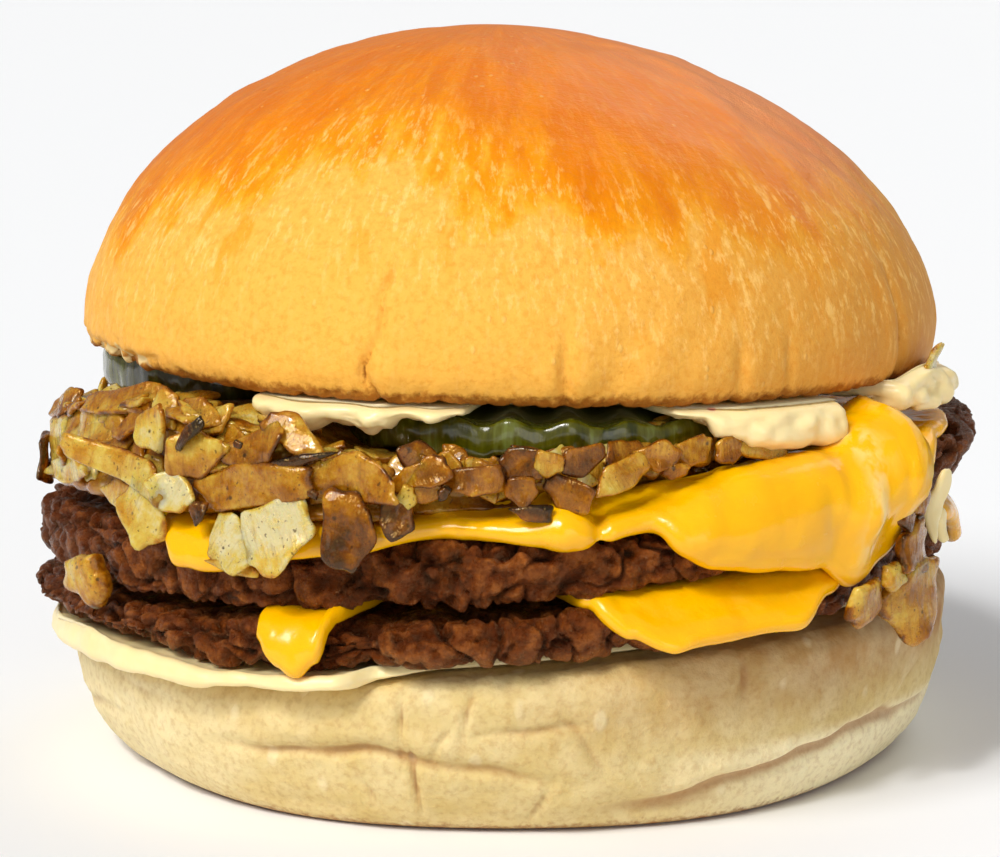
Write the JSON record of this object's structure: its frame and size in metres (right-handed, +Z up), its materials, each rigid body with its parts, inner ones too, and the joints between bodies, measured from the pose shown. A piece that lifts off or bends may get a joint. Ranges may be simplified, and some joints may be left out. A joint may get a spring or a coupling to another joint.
{
  "type": "double cheeseburger",
  "caption": "Tall burger in a shiny round bun: two craggy beef patties, melted cheese slices, fried onions, pickle slices and pale sauce.",
  "frame": {"origin": "centre of the lower bun's flat base", "axes": "+Z up through the layers; the pictured front faces -Y and +X is to its right"},
  "size_m": [0.1192, 0.1173, 0.0893],
  "materials": {
    "heel_bread": "pale soft bread with fine wrinkles",
    "crown_bread": "golden brown baked crust with a soft shine",
    "beef": "craggy browned ground beef, moist",
    "cheese": "melted and glossy",
    "onion": "fried, moist and partly translucent",
    "pickle": "wet dark green skin",
    "sauce": "thick pale cream sauce"
  },
  "bodies": {
    "root": {"heel": "heel_bread", "sauce_lower": "sauce", "patty_lower": "beef", "cheese_lower": "cheese", "patty_upper": "beef", "cheese_upper": "cheese", "onion_heap": "onion", "onion_left": "onion", "onion_right": "onion", "pickle_front": "pickle", "pickle_left": "pickle", "pickle_back": "pickle", "sauce_upper": "sauce", "crown": "crown_bread"}
  },
  "joints": []
}
